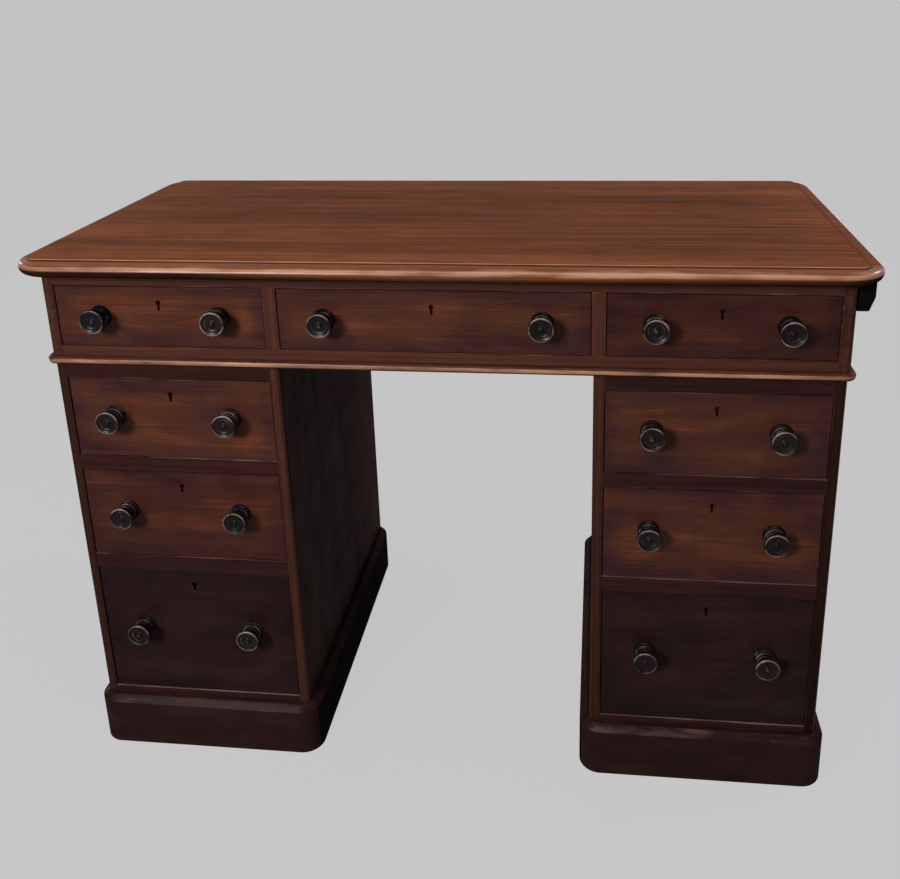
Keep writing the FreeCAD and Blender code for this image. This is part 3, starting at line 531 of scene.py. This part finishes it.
# Steps along a side of the top, and along its front and its back.
TOP_RUN_STEPS = (36, 88)
TOP_CORNER_MM = 54
FIELD_CORNER_MM = 10
FIELD_MARGIN_MM = 22
# The foot of the quirk, which is the head of the thumb moulding, over the underside.
QUIRK_FOOT_MM = 18.0
THUMB_RADIUS_MM = 100.1
NOSE_RADIUS_MM = 8.5

# The edge of the top: distance in from the nose, height over the underside, share of wear and
# painted light. The pale band high on the nose is painted highlight with wear; the shares less
# than nothing, at the foot of the quirk, at the head of the thumb and on the lower nose, are
# painted shade.
TOP_EDGE_MM = (
    [(FIELD_MARGIN_MM + 1.2, 20.0, 0.0), (FIELD_MARGIN_MM + 0.4, 19.95, 0.9),
     (FIELD_MARGIN_MM, 19.6, 1.0), (FIELD_MARGIN_MM - 0.1, 19.1, 0.0),
     (FIELD_MARGIN_MM - 0.2, 18.4, -0.9), (FIELD_MARGIN_MM - 0.5, QUIRK_FOOT_MM, -1.0)]
    + [(FIELD_MARGIN_MM - THUMB_RADIUS_MM * math.sin(math.radians(a)),
        QUIRK_FOOT_MM - THUMB_RADIUS_MM * (1 - math.cos(math.radians(a))), worn_and_lit)
       for a, worn_and_lit in ((1.2, -0.35), (2.4, -0.15), (4.0, 0.1), (5.6, 0.2), (7.2, 0.25))]
    + [(NOSE_RADIUS_MM * (1 - math.cos(math.radians(a))),
        NOSE_RADIUS_MM * (1 + math.sin(math.radians(a))), worn_and_lit)
       for a, worn_and_lit in ((81, 0.4), (73, 0.35), (65, 0.35), (57, 0.45), (49, 0.8), (41, 1.0),
                       (33, 0.85), (25, 0.7), (15, 0.65), (5, 0.5), (-8, 0.2), (-22, -0.35),
                       (-38, -0.6), (-55, -0.8), (-72, -0.9), (-88, -1.0))])

# Dents lie within this distance of the nose. They follow a noise of this many waves to the
# metre, and only where it is over the threshold.
DENTED_MM = 7
DENT_WAVES_PER_M = 60
DENT_THRESHOLD = 0.42
DENT_DEPTH_MM = 1.6
# Share of the darkest painted shade low on the nose, and the height under which the nose takes
# that painted shade.
NOSE_PAINTED_SHADE = -1.05
PAINTED_SHADE_UNDER_MM = 1.1 * NOSE_RADIUS_MM
# Wear and painted highlight at the ends and the back, as a share of that in front.
ENDS_WEAR_AND_LIGHT = 0.6
# How thick the polish is in the thumb moulding, and how much thicker round its corners.
THUMB_POLISH, CORNER_POLISH = 0.2, 1.1


def moulded_top():
    """The top board: its field with sharper corners, the quirk round it, the thumb moulding
    and the nose, knocked about a little along the nose."""
    low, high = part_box("desk_top")
    bm = bmesh.new()
    wear_and_painted_light = bm.verts.layers.float.new("wear_and_painted_light")
    thick = bm.verts.layers.float.new("thick_polish")
    rings = []
    for inset, height, worn_and_lit in TOP_EDGE_MM:
        # Under the nose the corners follow the outer edge. Above, they sharpen to the field's.
        under = height < NOSE_RADIUS_MM
        slimming = 1.0 if under else (TOP_CORNER_MM - FIELD_CORNER_MM) / FIELD_MARGIN_MM
        corner = TOP_CORNER_MM - inset * slimming
        ring = []
        for place, out in rounded_path(high.x - inset * MM, low.y + inset * MM,
                                       high.y - inset * MM, corner * MM, TOP_RUN_STEPS):
            spot = Vector((place.x, place.y, low.z + height * MM))
            if inset < DENTED_MM:
                # Years of knocks have left small dents along the nose.
                depth = max(0.0, noise.noise(spot * DENT_WAVES_PER_M) - DENT_THRESHOLD)
                spot -= Vector((out.x, out.y, 0.3)) * (depth * DENT_DEPTH_MM * MM)
            v = bm.verts.new(spot)
            # Arms and sleeves rub the front more than the ends and the back; the painted shade
            # keeps its full strength all round. The polish is
            #             # thick in the thumb moulding, and thickest round its corners. Painted
            #             shade darkens
            #             # the nose low down, most towards the left and at the right-hand
            #             corner.
            v[wear_and_painted_light] = worn_and_lit if worn_and_lit < 0 or out.y < -0.3 else ENDS_WEAR_AND_LIGHT * worn_and_lit
            if NOSE_RADIUS_MM < height < QUIRK_FOOT_MM and out.y < -0.1:
                v[thick] = THUMB_POLISH + CORNER_POLISH * abs(out.x * out.y)
            to_right = place.x / high.x
            if height < PAINTED_SHADE_UNDER_MM:
                painted_shade_share = min(1.0, max(-1.8 * to_right, 1.6 * to_right - 0.5, 0.0))
                v[wear_and_painted_light] += (NOSE_PAINTED_SHADE - v[wear_and_painted_light]) * painted_shade_share
            ring.append(v)
        rings.append(ring)
    for upper, lower in zip(rings, rings[1:]):
        for k, first in enumerate(upper):
            after = (k + 1) % len(upper)
            bm.faces.new((first, lower[k], lower[after], upper[after]))
    bm.faces.new(rings[0])
    bm.faces.new(list(reversed(rings[-1])))
    bmesh.ops.recalc_face_normals(bm, faces=bm.faces)
    lay_grain(bm, "desk_top", along=X_AXIS)
    mesh = finish_mesh(bm, "desk_top", MOULDING_SHARP_DEGREES)
    piece = put_in_scene("moulded_top_board", mesh, "carcase", "mahogany_top", ["desk_top"],
                         TOP)
    piece.modifiers.new("even_shading", "WEIGHTED_NORMAL").keep_sharp = True


# The lowest rail of a pedestal lies under this height.
LOW_RAIL_M = 0.12
# How far from the desk's middle the middle of a pedestal stands, and how high its top is.
PEDESTAL_MIDDLE_M = 0.361
PEDESTAL_TOP_M = 0.62
# A face squarely faces a way when its normal has more than the first share of it, and
# hardly faces it when it has less than the second.
SQUARELY, HARDLY = 0.9, 0.3
# The upper end of a slope: what lies flatter is a ledge.
FLATTEST_SLOPE = 0.95
DARK_DRAWERS = ("frieze_drawer_right", "left_drawer_middle")


def front_polish(drawer):
    """The lowest drawers are the darkest, by darker wood and painted shade, and two of the
    others are darker than the rest.
    """
    if drawer.endswith("bottom"):
        return LOW_FRONT
    return DARK_FRONT if drawer in DARK_DRAWERS else FRONT


def side_or_upright(face):
    """Side boards are duller and darker on their broad faces, and redder along their front
    edges: painted shade on the faces that turn aside, painted light on those towards the front.
    """
    return 0 if abs(face.normal.x) > SQUARELY else 1


def shaded_side(face):
    """The side boards of a plinth are darker than the one in front: painted shade."""
    return 1 if abs(face.normal.x) > SQUARELY else 0


def rubbed_and_lit_slope(face, corner):
    """The chamfer of a plinth in front is paler, most at the right: wear, and painted light on
    the upward slope.
    """
    if not HARDLY < face.normal.z < FLATTEST_SLOPE or face.normal.y > -HARDLY:
        return 0.0
    return 0.45 if corner.x > 0 else 0.3


def lit_ledge(face, corner):
    """The upper face of a rail is paler where it stands out before a drawer, and the lowest
    one most of all: painted light falling from above."""
    if face.normal.z < SQUARELY:
        return 0.0
    return 0.9 if corner.z < LOW_RAIL_M else 0.6


def rubbed_and_highlit_front(face, corner):
    """The half-round at the foot of the frieze is paler where it stands out most: wear, and a
    painted highlight along it.
    """
    return 0.8 if abs(face.normal.z) < HARDLY else 0.0


def darkened_front_edge(face, corner):
    """The front edges of the pedestals' side boards are darker: the outer ones more than
    those at the kneehole, and those of the right pedestal more towards its foot, as painted
    shade."""
    if face.normal.y > -SQUARELY:
        return 0.0
    darkening = 0.5 if abs(corner.x) > PEDESTAL_MIDDLE_M else 0.0
    if corner.x > 0:
        darkening += 0.2 + 0.35 * (1 - corner.z / PEDESTAL_TOP_M)
    return -darkening


moulded_top()
for drawer in DRAWERS:
    softened_boards(f"{drawer}_front", drawer, "mahogany_front",
                    [front_polish(drawer)], 0.8, along=X_AXIS)
    turned_knobs(drawer)
    softened_boards(f"{drawer}_box", drawer, "drawer_lining", [LINING], 0.5)
    lock = frame["nodes"][f"{drawer}_lock"].data.materials
    lock.clear()
    lock.append(BRASS)
softened_boards("base_moulding", "carcase", "mahogany_carcase", [FRIEZE_RAIL], 0.4,
                wear_and_light_rule=rubbed_and_highlit_front, moulded=True)
softened_boards("frieze_ends", "carcase", "mahogany_carcase", [FRIEZE_RAIL, UPRIGHT], 0.7,
                along=Y_AXIS, paint=side_or_upright)
softened_boards("frieze_back", "carcase", "mahogany_carcase", [FRIEZE_RAIL], 0.7)
softened_boards("frieze_rails", "carcase", "mahogany_carcase", [FRIEZE_RAIL], 0.5)
softened_boards("frieze_dividers", "carcase", "mahogany_carcase", [FRIEZE_RAIL], 0.5,
                along=Z_AXIS)
softened_boards("side_slide_board", "side_slide", "mahogany_carcase", [FRIEZE_RAIL], 0.5,
                along=X_AXIS)
softened_boards("side_slide_lip", "side_slide", "mahogany_carcase", [LIP], 1.5,
                moulded=True)
for pedestal in PEDESTALS:
    softened_boards(f"{pedestal}_sides", "carcase", "mahogany_carcase", [SIDE, UPRIGHT],
                    0.5, along=Z_AXIS, paint=side_or_upright, wear_and_light_rule=darkened_front_edge)
    softened_boards(f"{pedestal}_back", "carcase", "mahogany_carcase", [SIDE], 0.5, along=Z_AXIS)
    softened_boards(f"{pedestal}_rails", "carcase", "mahogany_carcase", [RAIL], 0.5,
                    wear_and_light_rule=lit_ledge)
    softened_boards(f"{pedestal}_plinth", "carcase", "mahogany_carcase", [PLINTH, SHADED], 0.9,
                    along=X_AXIS, paint=shaded_side, wear_and_light_rule=rubbed_and_lit_slope, moulded=True)
    for part in ("boards", "runners"):
        softened_boards(f"{pedestal}_{part}", "carcase", "drawer_lining", [LINING], 0.4)
for part in ("frieze_partitions", "frieze_runners", "side_slide_bearers"):
    softened_boards(part, "carcase", "drawer_lining", [LINING], 0.4)


# How far the floor reaches to the sides and to the front, where its backdrop stands and how
# high that is, and the radius and the steps of the bend between them.
FLOOR_REACH_M, BACKDROP_M, BACKDROP_HEIGHT_M = 14.0, 9.0, 12.0
BEND_M, BEND_STEPS = 2, 12
# How much of the floor's brightness, as the camera sees it, is its own.
FLOOR_GLOW = 0.75
# What the lamps point at: the middle of the drawers.
LAMPS_AIM = Vector((0, 0, 0.45))


def studio():
    """A pale floor that turns up into a backdrop, soft lamps and an even sky."""
    material, tree = blank_material("pale_studio_floor")
    plain = node(tree, "ShaderNodeBsdfDiffuse", {"Color": linear("606060")})
    glow = node(tree, "ShaderNodeEmission", {"Color": linear("dcdcdc"), "Strength": 1.0})
    path = node(tree, "ShaderNodeLightPath")
    seen = node(tree, "ShaderNodeMath", {0: path.outputs["Is Camera Ray"],
                                         1: path.outputs["Is Glossy Ray"]},
                operation="MAXIMUM").outputs[0]
    seen = node(tree, "ShaderNodeMath", {0: seen, 1: path.outputs["Is Transmission Ray"]},
                operation="MAXIMUM").outputs[0]
    share = node(tree, "ShaderNodeMath", {0: seen, 1: FLOOR_GLOW},
                 operation="MULTIPLY").outputs[0]
    both = node(tree, "ShaderNodeMixShader", {0: share, 1: plain.outputs[0],
                                              2: glow.outputs[0]})
    node(tree, "ShaderNodeOutputMaterial", {"Surface": both.outputs[0]})
    bm = bmesh.new()
    bend_y = BACKDROP_M - BEND_M
    rows = [(-FLOOR_REACH_M, 0.0), (bend_y, 0.0)]
    rows += [(bend_y + BEND_M * math.sin(a), BEND_M - BEND_M * math.cos(a))
             for a in (math.pi / 2 * k / BEND_STEPS for k in range(1, BEND_STEPS + 1))]
    rows.append((BACKDROP_M, BACKDROP_HEIGHT_M))
    lines = [[bm.verts.new((side * FLOOR_REACH_M, y, z)) for side in (-1, 1)]
             for y, z in rows]
    for first, second in zip(lines, lines[1:]):
        bm.faces.new((first[0], first[1], second[1], second[0]))
    mesh = finish_mesh(bm, "studio_cove")
    mesh.materials.append(material)
    cove = bpy.data.objects.new("studio_cove", mesh)
    bpy.context.scene.collection.objects.link(cove)

    world = bpy.data.worlds.new("even_sky")
    world.use_nodes = True
    sky = world.node_tree.nodes["Background"].inputs
    sky["Color"].default_value = linear("e8ecf0")
    sky["Strength"].default_value = 0.20
    bpy.context.scene.world = world
    # Each lamp: its place, size in metres, watts and spread in degrees.
    for name, place, size, watts, spread in (
            ("window_left", (-1.2, -2.6, 1.7), 0.7, 94, 180),
            ("window_right", (2.5, 0.75, 1.87), 0.7, 26, 180),
            ("window_far_left", (-2.6, 1.0, 1.25), 0.4, 9, 180),
            ("low_behind", (-0.6, 3.2, 0.35), 0.5, 6, 36),
            ("front", (0.2, -3.2, 2.2), 2.0, 20, 180),
            ("ceiling", (0.2, -0.3, 2.4), 1.4, 20, 180)):
        lamp = bpy.data.lights.new(name, "AREA")
        lamp.size, lamp.energy, lamp.spread = size, watts, math.radians(spread)
        light = bpy.data.objects.new(name, lamp)
        light.visible_camera = False
        # The low lamp is there for the back alone, and shouldn't glint on the top's far edge.
        light.visible_glossy = name != "low_behind"
        light.location = place
        light.rotation_euler = (LAMPS_AIM - light.location).to_track_quat(
            "-Z", "Y").to_euler()
        bpy.context.scene.collection.objects.link(light)


studio()

# The camera as it was fitted to points in the photograph.
IMAGE_WIDTH_PX = 900
FOCAL_LENGTH_PX = 983.56
SENSOR_MM = 36
CAMERA_TURN_DEGREES = (72.447, 1.260, 6.409)
camera = bpy.data.objects.new("camera", bpy.data.cameras.new("camera"))
camera.location = (0.2085, -1.4062, 1.0976)
camera.rotation_euler = Euler([math.radians(a) for a in CAMERA_TURN_DEGREES])
camera.data.sensor_width = SENSOR_MM
camera.data.lens = FOCAL_LENGTH_PX * SENSOR_MM / IMAGE_WIDTH_PX
camera.data.shift_x = -0.0394
camera.data.shift_y = -0.1702
bpy.context.scene.collection.objects.link(camera)
bpy.context.scene.camera = camera
bpy.context.scene.view_settings.view_transform = "Standard"
